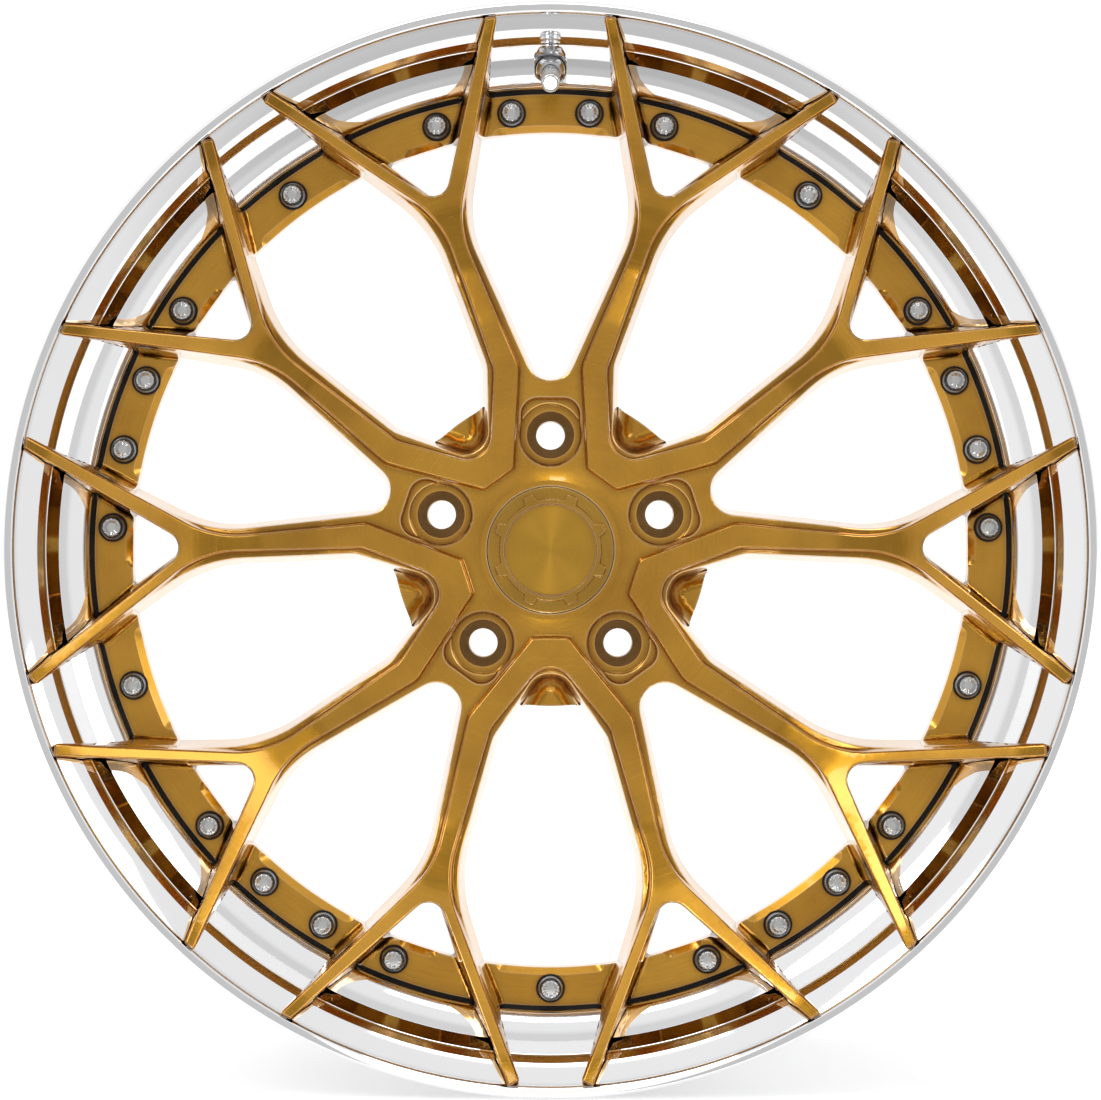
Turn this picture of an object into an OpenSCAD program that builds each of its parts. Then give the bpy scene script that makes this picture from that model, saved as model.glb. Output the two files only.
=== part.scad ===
// Two-piece forged racing wheel: a stepped-lip barrel and a bolted centre disc with ten forked
// spokes, a push-in centre cap and a clamp-in tyre valve. Every part is drawn with the wheel lying
// face up (z towards the viewer of the face) and is stood upright at the end, so that the axle
// runs along y, the face looks along -y and the valve is at the top.

/* [Wheel] */
// Diameter of the bead seats
bead_seat_d = 512.8; // [512.6:0.1:513.0]
// Width between the bead faces of the two rim flanges
rim_width = 266.7; // [262:0.1:272]
// Thickness of each rim flange
flange_t = 13; // [12.5:0.1:13.5]
// Height of each rim flange above the bead seat
flange_h = 17.3; // [17:0.1:17.5]
// Offset of the mounting pad from the middle of the wheel, towards the face
offset_et = 20; // [18:0.5:22]

/* [Hub] */
// Diameter of the lug circle
lug_pcd = 120; // [118:0.5:122]
// Diameter of the through holes for the lug bolts
lug_hole_d = 15; // [14:0.1:15.5]
// Diameter of the conical lug seat at its mouth
lug_seat_d = 23.8; // [22:0.1:24.5]
// Diameter of the wrench pocket over each lug seat
lug_pocket_d = 33; // [32:0.1:33.5]
// Diameter of the hub bore in the mounting pad
hub_bore_d = 72.6; // [70:0.1:73]
// Radius of the mounting pad
pad_r = 82.5; // [81:0.1:83]
// Diameter of the bore that takes the centre cap
cap_bore_d = 66.3; // [66.2:0.1:66.4]

/* [Assembly bolts] */
// Radius of the circle of assembly bolts
bolt_circle_r = 224.8; // [224.5:0.1:225.1]
// Shank diameter of the assembly bolts
bolt_d = 7; // [6.5:0.1:7]
// Angle from a lug axis to each of the two nearest bolts
bolt_near = 4.75; // [4.6:0.05:4.9]
// Angle from a lug axis to each bolt inside a fork
bolt_fork = 15.05; // [14.9:0.05:15.2]

/* [Valve] */
// Lean of the valve stem from the axle direction
valve_lean = 20; // [19:0.5:21]
// Diameter of the valve hole
valve_hole_d = 8.3; // [8.2:0.1:8.4]
// Radius of the wheel at the centre of the valve seat
valve_seat_r = 244.2; // [244:0.1:244.4]
// Distance of the valve seat behind the face plane
valve_seat_depth = 36.9; // [36.5:0.1:37.2]

/* [Hidden] */

$fn = 64;
big = 700;
arc_steps = 5;

// Main planes and radii, in the lying wheel
seat_r = bead_seat_d / 2;
rim_r = seat_r + flange_h;
face_z = rim_width / 2 + flange_t;
pad_z = offset_et;

// Face of the disc flange, its back, and the back of the barrel's mounting ring
disc_flange_z = face_z - 62;
disc_back_z = disc_flange_z - 13;
ring_back_z = disc_back_z - 12;
disc_flange_r = 234.3;
disc_bore_r = 214.3;
register_r = 236.3;
lip_bore_r = 235.2;
well_r = seat_r - 12.9;
well_bore_r = 236.6;

// Planes of the hub
platform_z = face_z - 86;
lug_floor_z = face_z - 96;
recess_z = platform_z - 6;
cap_ledge_z = pad_z + 20;

// ---------------------------------------------------------------- outline helpers

function unit(v) = v / norm(v);
function cross2(a, b) = a[0] * b[1] - a[1] * b[0];
function flat(lists) = [for (list = lists) for (item = list) item];
function spot(p) = [p[0], p[1]];
function wrap(i, n) = (i + n) % n;

// Points of the arc of radius b[2] that rounds the corner b between its neighbours a and c
function corner(a, b, c) =
    b[2] == 0 ? [spot(b)] :
    let (
        u = unit(spot(a) - spot(b)),
        v = unit(spot(c) - spot(b)),
        half = acos(u * v) / 2,
        reach = b[2] / tan(half),
        centre = spot(b) + unit(u + v) * b[2] / sin(half),
        from = spot(b) + u * reach - centre,
        to = spot(b) + v * reach - centre,
        turn = sign(cross2(from, to)) * (180 - 2 * half),
        start = atan2(from[1], from[0])
    )
    [for (i = [0:arc_steps]) centre + b[2] * [cos(start + turn * i / arc_steps), sin(start + turn * i / arc_steps)]];

// Closed outline through corners [x, y, radius]
function rounded(corners) =
    let (n = len(corners))
    flat([for (i = [0:n - 1]) corner(corners[wrap(i - 1, n)], corners[i], corners[wrap(i + 1, n)])]);

// Half an outline, read from the symmetry line outwards, completed by its mirror image
function mirrored(half) =
    concat(half, [for (i = [len(half) - 1:-1:0]) [-half[i][0], half[i][1], half[i][2]]]);

// A corner turned about the axle, anticlockwise seen from the face
function turned(p, angle) =
    [p[0] * cos(angle) - p[1] * sin(angle), p[0] * sin(angle) + p[1] * cos(angle), p[2]];

module five() {
    for (i = [0:4])
        rotate(72 * i)
            children();
}

// Stands the lying wheel upright
module upright() {
    rotate([90, 0, 0])
        children();
}

// Ring of plain rectangular section
module band(r_in, r_out, z_low, z_high) {
    difference() {
        translate([0, 0, z_low])
            cylinder(r = r_out, h = z_high - z_low);
        translate([0, 0, z_low - 1])
            cylinder(r = r_in, h = z_high - z_low + 2);
    }
}

// Round bar between two heights
module bar(r, z_low, z_high) {
    translate([0, 0, z_low])
        cylinder(r = r, h = z_high - z_low);
}

// ---------------------------------------------------------------- spoke outlines

// Window on a lug axis, with the axis along y
window_lug = mirrored([[6.6, 91, 10], [42.3, 169.5, 56], [33.9, 220, 0]]);

// Wide window between two lug axes, with its own axis along y
window_wide = mirrored([[5.2, 66.9, 9.2], [27.1, 98.3, 12], [47.5, 171.6, 66], [31.6, 220, 0]]);

// Small window inside a fork, one side of a lug axis
window_fork = [[55.6, 180.1, 5.7], [47.5, 218, 0], [98, 212, 0], [94, 206.6, 0]];

// Raised rib from a hub corner along one limb to both fork tips, on one side of a lug axis
rib_limb = [
    [19.2, 42.4, 3], [16.4, 95.1, 10], [47.4, 166.2, 50], [26.9, 265.7, 1],
    [32.4, 265.1, 1], [54.8, 175.4, 9], [139.8, 228.3, 1], [142.7, 223.3, 1],
    [56.1, 169.6, 50], [29.2, 93.6, 10]
];
// Inner corner where two limbs meet, on the line between two lug axes
rib_crotch = [0, 52.9, 13.3];

function limb_in_vee() = [for (p = rib_limb) turned(p, 36)];
function vee() =
    let (limb = limb_in_vee())
    concat(
        [for (p = limb) p],
        [rib_crotch],
        [for (i = [len(limb) - 1:-1:0]) [-limb[i][0], limb[i][1], limb[i][2]]]
    );

// Height of the rib top at set radii, given as depths behind the face plane
rib_top = [
    [38, 82], [90, 80], [120, 76.8], [150, 69.5], [181, 56], [200, 44.5],
    [214, 35], [230, 24], [246, 13], [256, 6.5], [rim_r - 6.2, 0.4]
];

// Underside of the leg tips, held clear of the lip
tip_under = [
    [rim_r - 6.8, 3.2], [253.8, 13.2], [252.4, 18.6], [247.2, 27.6], [246.2, 29],
    [242, 32.8], [235.6, 39.2], [234.1, 40.8], [234.1, 62.9]
];

function at_depth(points, lift = 0) = [for (p = points) [p[0], face_z - p[1] + lift]];

// Solid of revolution that holds the ribs and legs
module rib_envelope() {
    rotate_extrude($fn = 128)
        polygon(concat(
            at_depth(rib_top),
            at_depth(tip_under),
            [[disc_bore_r + 1, disc_flange_z - 6], [181, face_z - 80], [120, face_z - 95], [38, face_z - 96]]
        ));
}

// Solid of revolution of the disc below its ribs
module disc_blank() {
    rotate_extrude($fn = 128)
        polygon([
            [25, platform_z - 2], [36, platform_z - 2], [42, platform_z], [95, platform_z + 1],
            [120, face_z - 83], [150, face_z - 75.5], [181, face_z - 62.5], [200, face_z - 51],
            [disc_bore_r - 0.5, disc_flange_z], [disc_bore_r + 2, disc_flange_z],
            [disc_flange_r, disc_flange_z], [disc_flange_r, disc_back_z], [disc_bore_r - 1, disc_back_z],
            [181, face_z - 91], [150, face_z - 103], [120, face_z - 111], [86, face_z - 118],
            [pad_r, face_z - 120], [pad_r, pad_z], [25, pad_z]
        ]);
}

// Straight cut with a window's outline, ending at the bore of the disc's flange
module window_prism(outline, z_low = -big / 2) {
    translate([0, 0, z_low])
        linear_extrude(height = big)
            intersection() {
                polygon(rounded(outline));
                circle(r = disc_bore_r, $fn = 128);
            }
}

// Wide window: full depth outside a slightly relieved pad edge, and a sloping scoop over the pad
module wide_window() {
    relief_r = pad_r - 1;
    intersection() {
        window_prism(window_wide);
        rotate_extrude($fn = 128)
            polygon([
                [relief_r, -big], [relief_r, pad_z + 6], [60, pad_z + 24],
                [60, big], [big / 2, big], [big / 2, -big]
            ]);
    }
}

// All windows: one on each lug axis, a small one in each fork, and a wide one between the axes
module window_cuts() {
    five() {
        window_prism(window_lug);
        for (side = [0, 1])
            mirror([side, 0, 0])
                window_prism(window_fork);
        rotate(36)
            wide_window();
    }
}

// Lug hole with its conical seat, wrench pocket and flat-topped clearance
module lug_cut() {
    recess_w = lug_pocket_d - 1.8;
    seat_h = (lug_seat_d - lug_hole_d) / 2 / tan(30);
    translate([0, lug_pcd / 2, 0]) {
        bar(lug_hole_d / 2, pad_z - 1, face_z);
        translate([0, 0, lug_floor_z - seat_h])
            cylinder(d1 = lug_hole_d, d2 = lug_seat_d, h = seat_h + 0.01);
        bar(lug_pocket_d / 2, lug_floor_z, face_z);
    }
    translate([0, 0, recess_z])
        linear_extrude(height = big)
            polygon(rounded([
                [-recess_w / 2, lug_pcd / 2, 0], [-recess_w / 2, 79.3, 9],
                [recess_w / 2, 79.3, 9], [recess_w / 2, lug_pcd / 2, 0]
            ]));
}

// Places one child at every assembly bolt; the two beside the valve stand a little wider
module at_bolts() {
    for (group = [0:4]) {
        near = group == 0 ? bolt_near + 0.35 : bolt_near;
        for (angle = [-bolt_fork, -near, near, bolt_fork, 36])
            rotate(72 * group + angle)
                translate([0, bolt_circle_r, 0])
                    children();
    }
}

module disc_solid() {
    difference() {
        union() {
            difference() {
                disc_blank();
                window_cuts();
            }
            intersection() {
                rib_envelope();
                translate([0, 0, -big / 2])
                    linear_extrude(height = big)
                        five()
                            rotate(-36)
                                polygon(rounded(vee()));
            }
        }
        five()
            lug_cut();
        // Hub bore, cap bore and the groove for the cap's spring wire
        bar(hub_bore_d / 2, pad_z - 1, pad_z + 14);
        bar(30, pad_z - 1, face_z);
        bar(cap_bore_d / 2, cap_ledge_z, face_z);
        band(cap_bore_d / 2 - 1, cap_bore_d / 2 + 0.8, cap_ledge_z + 3, cap_ledge_z + 5.6);
        at_bolts()
            bar(bolt_d / 2 + 0.15, disc_back_z - 1, face_z);
    }
}

module centre_disc() {
    color("darkgoldenrod")
        upright()
            disc_solid();
}

// ---------------------------------------------------------------- barrel

// Outer contour from the face to the back, then the bore back to the face
module barrel_profile() {
    bead_in = face_z - flange_t;
    polygon([
        [rim_r - 5.5, face_z], [rim_r - 1.6, face_z - 0.4], [rim_r, face_z - 2.5],
        [rim_r, face_z - 9], [rim_r - 2.2, face_z - 12], [rim_r - 6, bead_in],
        [seat_r + 3, bead_in - 1], [seat_r, bead_in - 4], [seat_r - 2.2, bead_in - 25],
        [seat_r - 0.8, bead_in - 27], [seat_r - 3, bead_in - 30], [well_r, bead_in - 38],
        [well_r, face_z - 108], [well_r + 6.5, face_z - 132], [seat_r - 5.6, -face_z + 50],
        [seat_r - 0.8, -bead_in + 27], [seat_r - 2.2, -bead_in + 25], [seat_r, -bead_in + 4],
        [seat_r + 3, -bead_in + 1], [rim_r - 6, -bead_in], [rim_r - 2.2, -face_z + 12],
        [rim_r, -face_z + 9], [rim_r, -face_z + 2.5], [rim_r - 2, -face_z],
        [rim_r - 7, -face_z], [seat_r + 2, -face_z + 9], [seat_r - 5.5, -face_z + 14],
        [seat_r - 6.5, -face_z + 32], [seat_r - 11, -face_z + 50], [well_r + 1, face_z - 132],
        [well_bore_r, face_z - 108], [well_bore_r, ring_back_z], [disc_bore_r + 1.7, ring_back_z],
        [disc_bore_r + 1.7, disc_back_z], [register_r, disc_back_z], [register_r, disc_flange_z + 0.5],
        [lip_bore_r, disc_flange_z + 1.4], [lip_bore_r, face_z - 41.3], [236.6, face_z - 39.7],
        [239.2, face_z - 36.9], [242.8, face_z - 33.8], [248, face_z - 30.3], [248.6, face_z - 29.9],
        [253.6, face_z - 20.3], [254.4, face_z - 17.2], [255.9, face_z - 14.9], [259.5, face_z - 11.1],
        [263.6, face_z - 7.9], [rim_r - 5.8, face_z - 5.5]
    ]);
}

// Puts the valve's own axis, pointing out of the tyre, on z
module at_valve() {
    translate([0, valve_seat_r, face_z - valve_seat_depth])
        rotate([valve_lean, 0, 0])
            children();
}

module barrel() {
    color("silver")
        upright()
            difference() {
                rotate_extrude($fn = 160)
                    barrel_profile();
                at_bolts()
                    bar(bolt_d / 2 + 0.15, ring_back_z - 1, disc_back_z + 1);
                at_valve() {
                    bar(valve_hole_d / 2, -30, 20);
                    bar(8, 0, 30);
                    bar(6.2, -30, -10);
                }
            }
}

module sealant_ring() {
    color("black")
        upright()
            band(disc_flange_r + 0.05, register_r - 0.05, disc_back_z + 0.1, disc_flange_z - 1.5);
}

// ---------------------------------------------------------------- assembly hardware

washer_t = 1.2;
head_flange_r = 6.4;
star_r = 4.9;

module assembly_bolts() {
    seat = disc_flange_z + washer_t + 0.02;
    color("gainsboro")
        upright()
            at_bolts() {
                bar(bolt_d / 2, ring_back_z - 10, seat + 1);
                bar(head_flange_r, seat, seat + 2.4);
                // Twelve-point drive: two hexagons, a twelfth of a turn apart
                for (a = [0, 30])
                    rotate(a)
                        translate([0, 0, seat + 2])
                            cylinder(r = star_r, h = 4.5, $fn = 6);
            }
}

module assembly_washers() {
    color("dimgray")
        upright()
            at_bolts()
                band(bolt_d / 2 + 0.2, 7.35, disc_flange_z + 0.01, disc_flange_z + washer_t);
}

module assembly_nuts() {
    top = ring_back_z - 0.02;
    color("gray")
        upright()
            at_bolts()
                difference() {
                    union() {
                        bar(6.3, top - 1.6, top);
                        translate([0, 0, top - 7])
                            cylinder(r = 5.9, h = 5.6, $fn = 6);
                    }
                    bar(bolt_d / 2 + 0.02, top - 8, top + 1);
                }
}

// ---------------------------------------------------------------- centre cap

cap_r = cap_bore_d / 2 - 0.05;
cap_top_z = platform_z - 1;
cap_floor_z = cap_top_z - 3;
badge_r = 23.7;
wire_z = cap_ledge_z + 4.3;
oring_z = cap_ledge_z + 8.5;

module cap_shell() {
    color("goldenrod")
        upright()
            difference() {
                union() {
                    band(cap_r - 3.6, cap_r, cap_ledge_z + 1, cap_top_z);
                    bar(cap_r - 1, cap_floor_z - 2, cap_top_z - 0.9);
                    // Gear ring in low relief: an inner rim and eight teeth
                    band(badge_r + 0.9, badge_r + 3, cap_floor_z, cap_top_z);
                    for (i = [0:7])
                        rotate(45 * i + 22.5)
                            translate([0, 0, cap_floor_z])
                                linear_extrude(height = cap_top_z - cap_floor_z)
                                    polygon([[-3.7, 26], [3.7, 26], [2.4, 30.2], [-2.4, 30.2]]);
                }
                bar(badge_r + 0.05, cap_floor_z, face_z);
                band(cap_r - 1.75, cap_r + 1, wire_z - 0.85, wire_z + 0.85);
                band(cap_r - 1.65, cap_r + 1, oring_z - 0.85, oring_z + 0.85);
            }
}

module cap_badge() {
    color("goldenrod")
        upright()
            bar(badge_r, cap_floor_z + 0.02, cap_floor_z + 1.2);
}

// Ring of round section
module torus(r, section_r, z) {
    translate([0, 0, z])
        rotate_extrude($fn = 64)
            translate([r, 0, 0])
                circle(r = section_r, $fn = 24);
}

module cap_wire() {
    color("silver")
        upright()
            difference() {
                torus(cap_r - 0.95, 0.75, wire_z);
                // Gap between the ends of the spring wire
                translate([-5, -cap_r - 5, wire_z - 2])
                    cube([10, 12, 4]);
            }
}

module cap_oring() {
    color("black")
        upright()
            torus(cap_r - 0.85, 0.78, oring_z);
}

// ---------------------------------------------------------------- valve

stem_r = valve_hole_d / 2 - 0.2;
thread_r = 3.85;
stem_top = 24.5;
core_r = 2.25;
core_low = 12;
core_high = 24;
pin_r = 0.65;

module on_valve(colour) {
    color(colour)
        upright()
            at_valve()
                children();
}

module valve_stem() {
    on_valve("silver")
        difference() {
            union() {
                bar(5.9, -17, -13.1);
                bar(stem_r, -13.2, 15);
                bar(thread_r, 14, stem_top);
            }
            bar(1.5, -18, 7);
            bar(core_r + 0.05, 6, stem_top + 1);
        }
}

module valve_grommet() {
    on_valve("black")
        difference() {
            union() {
                bar(6, -13.05, -10.02);
                bar(valve_hole_d / 2 - 0.02, -10.1, -7);
            }
            bar(stem_r + 0.02, -14, 0);
        }
}

module valve_washer() {
    on_valve("silver")
        band(stem_r + 0.15, 7.3, 0.02, 1.2);
}

module valve_nut() {
    on_valve("silver")
        difference() {
            union() {
                bar(7.4, 1.22, 5);
                translate([0, 0, 5])
                    cylinder(r1 = 7.4, r2 = 5.4, h = 3.6);
            }
            bar(stem_r + 0.03, 0, 20);
        }
}

module core_body() {
    on_valve("goldenrod")
        difference() {
            bar(core_r, core_low, core_high);
            bar(1.75, core_low + 2, core_high - 1.5);
            bar(pin_r + 0.08, core_low - 1, core_high + 1);
            // Groove for the barrel gasket
            band(1.95, core_r + 1, core_low + 3, core_low + 5);
        }
}

module core_gasket() {
    on_valve("white")
        band(1.97, core_r + 0.03, core_low + 3.05, core_low + 4.95);
}

module core_pin() {
    on_valve("goldenrod") {
        bar(pin_r, 8, stem_top + 0.1);
        bar(1.4, core_high - 2.6, core_high - 1.85);
        bar(1.5, 8.6, 9.4);
    }
}

module core_seal() {
    on_valve("black")
        band(pin_r + 0.02, 1.7, 9.42, core_low - 0.3);
}

// Coil spring drawn as a stack of closed rings between the sleeve's floor and the pin's collar
module core_spring() {
    low = core_low + 2.35;
    high = core_high - 2.95;
    turns = 6;
    on_valve("silver")
        for (i = [0:turns - 1])
            torus(1.2, 0.2, low + (high - low) * i / (turns - 1));
}

cap_low = 16.5;
cap_high = 33;

module valve_cap() {
    on_valve("silver")
        difference() {
            union() {
                bar(4.75, cap_low, cap_high - 1);
                translate([0, 0, cap_high - 1])
                    cylinder(r1 = 4.75, r2 = 4.1, h = 1);
            }
            bar(thread_r + 0.08, cap_low - 1, stem_top + 2);
            // Grip grooves
            for (z = [19:2.4:29])
                band(4.45, 6, z, z + 0.8);
        }
}

module valve_cap_gasket() {
    on_valve("black")
        band(1.6, thread_r - 0.1, stem_top + 0.3, stem_top + 1.7);
}

// ---------------------------------------------------------------- nodes

barrel();
centre_disc();
sealant_ring();
assembly_bolts();
assembly_washers();
assembly_nuts();
cap_shell();
cap_badge();
cap_wire();
cap_oring();
valve_stem();
valve_grommet();
valve_washer();
valve_nut();
core_body();
core_gasket();
core_pin();
core_seal();
core_spring();
valve_cap();
valve_cap_gasket();
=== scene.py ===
"""Looks of a two-piece forged wheel rim: detailed surfaces, materials and a studio for its CAD frame.

Outlines are drawn in plan, in millimetres: x to the right and y up, as seen from the wheel's face.
Depths are millimetres behind the face plane of the lip. stand() turns plan and depth into metres.
"""

import math

import bmesh
import bpy
import numpy as np
from mathutils import Matrix, Vector
from mathutils.geometry import delaunay_2d_cdt


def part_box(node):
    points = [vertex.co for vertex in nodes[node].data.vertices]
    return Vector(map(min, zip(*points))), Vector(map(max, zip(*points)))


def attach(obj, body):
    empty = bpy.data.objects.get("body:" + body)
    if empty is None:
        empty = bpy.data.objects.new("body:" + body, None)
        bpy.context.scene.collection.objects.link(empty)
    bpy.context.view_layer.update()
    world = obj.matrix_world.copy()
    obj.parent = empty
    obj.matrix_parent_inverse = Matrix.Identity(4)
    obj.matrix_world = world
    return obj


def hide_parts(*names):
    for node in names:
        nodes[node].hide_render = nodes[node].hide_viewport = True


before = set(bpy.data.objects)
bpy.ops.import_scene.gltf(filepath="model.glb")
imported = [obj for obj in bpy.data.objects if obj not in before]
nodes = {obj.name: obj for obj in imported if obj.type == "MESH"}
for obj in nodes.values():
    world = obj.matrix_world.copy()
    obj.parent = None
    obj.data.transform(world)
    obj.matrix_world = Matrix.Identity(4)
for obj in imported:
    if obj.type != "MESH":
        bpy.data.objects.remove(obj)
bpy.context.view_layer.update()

MM = 0.001
barrel_low, barrel_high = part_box("barrel")
FACE = barrel_low.y
RIM_R = barrel_high.x / MM


def depth_of(node, side):
    """Depth of a CAD node's front (side 0) or back (side 1) behind the face plane."""
    return (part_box(node)[side].y - FACE) / MM


SECTORS = 5
HALF_SECTOR_DEGREES = 36
HALF_SECTOR = math.radians(HALF_SECTOR_DEGREES)
WIDE_AXIS = np.array([math.sin(HALF_SECTOR), math.cos(HALF_SECTOR)])

# The bolted flange of the disc, and the barrel's ring behind it
FLANGE = depth_of("assembly_washers", 1)
FLANGE_THICKNESS = 13
FLANGE_BACK = FLANGE + FLANGE_THICKNESS
RING_THICKNESS = 12
RING_BACK = FLANGE_BACK + RING_THICKNESS
FLANGE_OUT = 234.3
FLANGE_IN = 214.3

# Hub: pad, bore for the car's hub, bore through the disc, cap, lug holes
PAD = depth_of("centre_disc", 1)
PAD_R = 82.5
PAD_EDGE = 0.8
BORE_R = 36.3
BORE_STEP = 0.06
BORE_DEPTH = 14
THROUGH_R = 30
CAP_FACE = depth_of("cap_shell", 0)
CAP_LEDGE = CAP_FACE + 19.35
CAP_R = 33.15
LUG_CIRCLE_R = 60
LUG_HOLE_R = 7.5
LUG_SEAT_R = 11.9

# Assembly bolts: angles from the lug axis are in degrees
BOLT_CIRCLE_R = 224.8
BOLT_HOLE_R = 3.65
BOLT_NEAR = 4.75
BOLT_NEAR_VALVE = 5.1
BOLT_FORK = 15.05

# An upright wall is drawn as a step this wide in plan
STEP = 0.1


# ---------------------------------------------------------------- plan geometry


def unit(vector):
    """The vector at length 1."""
    return vector / np.linalg.norm(vector)


def cross(a, b):
    """Cross product of two plan vectors."""
    return a[0] * b[1] - a[1] * b[0]


def turned(points, angle):
    """Plan points turned clockwise about the axle, as seen from the face."""
    c, s = math.cos(angle), math.sin(angle)
    return np.asarray(points, float) @ np.array([[c, -s], [s, c]])


def mirrored(half):
    """Half an outline, read away from the symmetry line, completed by its mirror image."""
    return half + [(-x, y, radius) for x, y, radius in reversed(half)]


def outline(corners, step=3.0):
    """Points and outward normals round the closed outline through corners (x, y, radius)."""
    count = len(corners)
    spots = [np.array(corner[:2], float) for corner in corners]
    winding = math.copysign(1, sum(cross(spots[i - 1], spots[i]) for i in range(count)))
    points, normals = [], []
    for i in range(count):
        back = unit(spots[i - 1] - spots[i])
        ahead = unit(spots[(i + 1) % count] - spots[i])
        radius = max(corners[i][2], 0.02)
        half = math.acos(np.clip(back @ ahead, -1, 1)) / 2
        centre = spots[i] + unit(back + ahead) * radius / math.sin(half)
        first = spots[i] + back * radius / math.tan(half) - centre
        bend = math.copysign(1, cross(-back, ahead))
        sweep = bend * (math.pi - 2 * half)
        pieces = max(1, math.ceil(radius * abs(sweep) / min(step, 0.9 + 0.12 * radius)))
        start = math.atan2(first[1], first[0])
        if points:
            run = centre + first - points[-1]
            extra = int(np.linalg.norm(run) // step)
            for k in range(1, extra + 1):
                points.append(points[-k] + run * k / (extra + 1))
                normals.append(np.array([run[1], -run[0]]) / np.linalg.norm(run) * winding)
        for k in range(pieces + 1):
            ray = np.array([math.cos(start + sweep * k / pieces), math.sin(start + sweep * k / pieces)])
            points.append(centre + ray * radius)
            normals.append(ray * bend * winding)
    run = points[0] - points[-1]
    extra = int(np.linalg.norm(run) // step)
    for k in range(1, extra + 1):
        points.append(points[-k] + run * k / (extra + 1))
        normals.append(np.array([run[1], -run[0]]) / np.linalg.norm(run) * winding)
    return np.array(points), np.array(normals)


def circle(radius, centre=(0, 0), step=3.0):
    """Points and outward normals of a circle."""
    count = max(16, math.ceil(2 * math.pi * radius / step))
    angles = np.arange(count) * 2 * math.pi / count
    rays = np.column_stack([np.cos(angles), np.sin(angles)])
    return np.array(centre) + rays * radius, rays


def distance(points, loop):
    """Distance of each point to a closed loop, negative inside it."""
    near = np.full(len(points), np.inf)
    inside = np.zeros(len(points), bool)
    following = np.roll(loop, -1, axis=0)
    for a, b in zip(loop, following):
        ab = b - a
        length = ab @ ab
        if length < 1e-12:
            continue
        along = np.clip((points - a) @ ab / length, 0, 1)
        gap = points - a - along[:, None] * ab
        near = np.minimum(near, np.hypot(gap[:, 0], gap[:, 1]))
        if a[1] != b[1]:
            spans = (a[1] > points[:, 1]) != (b[1] > points[:, 1])
            inside ^= spans & (points[:, 0] < ab[0] * (points[:, 1] - a[1]) / ab[1] + a[0])
    return np.where(inside, -near, near)


def eased(table, width=12.0, spacing=0.25):
    """A function of radius through a table of (radius, depth), with its corners eased over about width mm."""
    radii, depths = np.array(table, float).T
    fine = np.arange(radii[0], radii[-1] + spacing, spacing)
    kernel = np.hanning(2 * int(width / (2 * spacing)) + 1)
    pad = len(kernel) // 2
    padded = np.pad(np.interp(fine, radii, depths), pad, mode="reflect", reflect_type="odd")
    smooth = np.convolve(padded, kernel / kernel.sum(), mode="valid")
    return lambda r: np.interp(r, fine, smooth)


# ---------------------------------------------------------------- outlines of the centre disc

WINDOW_LUG = mirrored([(6.6, 91, 10), (42.3, 169.5, 56), (33.9, 220, 0)])
WINDOW_WIDE = mirrored([(5.2, 66.9, 9.2), (27.1, 98.3, 12), (47.5, 171.6, 66), (31.6, 220, 0)])
WINDOW_FORK = [(55.6, 180.1, 5.7), (47.5, 218, 0), (98, 212, 0), (94, 206.6, 0)]
LIMB = [
    (19.2, 42.4, 3), (16.4, 95.1, 10), (47.4, 166.2, 50), (26.9, 265.7, 1), (32.4, 265.1, 1),
    (54.8, 175.4, 9), (139.8, 228.3, 1), (142.7, 223.3, 1), (56.1, 169.6, 50), (29.2, 93.6, 10),
]
CROTCH = (0, 52.9, 13.3)
RECESS = [(-15.6, 60, 0), (-15.6, 79.3, 9), (15.6, 79.3, 9), (15.6, 60, 0)]


def axis_turned(pair, angle):
    """Points and normals of an outline, turned clockwise about the axle."""
    return turned(pair[0], angle), turned(pair[1], angle)


def vee_outline():
    """Both limbs that meet between two lug axes, as one outline about the half sector's far border."""
    limb = []
    for x, y, radius in LIMB:
        x, y = turned([(x, y)], -HALF_SECTOR)[0]
        limb.append((x, y, radius))
    other = [(-x, y, radius) for x, y, radius in reversed(limb)]
    return axis_turned(outline(limb + [CROTCH] + other, step=2.5), HALF_SECTOR)


RIB = vee_outline()
LUG_WINDOW = outline(WINDOW_LUG)
WIDE_WINDOW = axis_turned(outline(WINDOW_WIDE), HALF_SECTOR)
FORK_WINDOW = outline(WINDOW_FORK)
WINDOWS = (LUG_WINDOW, WIDE_WINDOW, FORK_WINDOW)
RECESS_EDGE = outline(RECESS)

# Bevels on the flange's inner edge: (angle of the middle in degrees, half length in mm)
BEVELS = ((0, 30), (17.6, 10.5), (HALF_SECTOR_DEGREES, 28))
BEVEL_TOP = 218
BEVEL_SLOPE = 0.75

# Scoops where the pad closes the foot of the wide windows; it reaches out to SCOOP_END along their axis
SCOOP_R = 90
SCOOP_END = 81.8
SCOOP_RIM = PAD - 14.5
SCOOP_DROP = 11
SCOOP_REACH = 10
SCOOP_RINGS = (-0.5, -1.6, -3.2, -5.5, -8)

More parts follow.
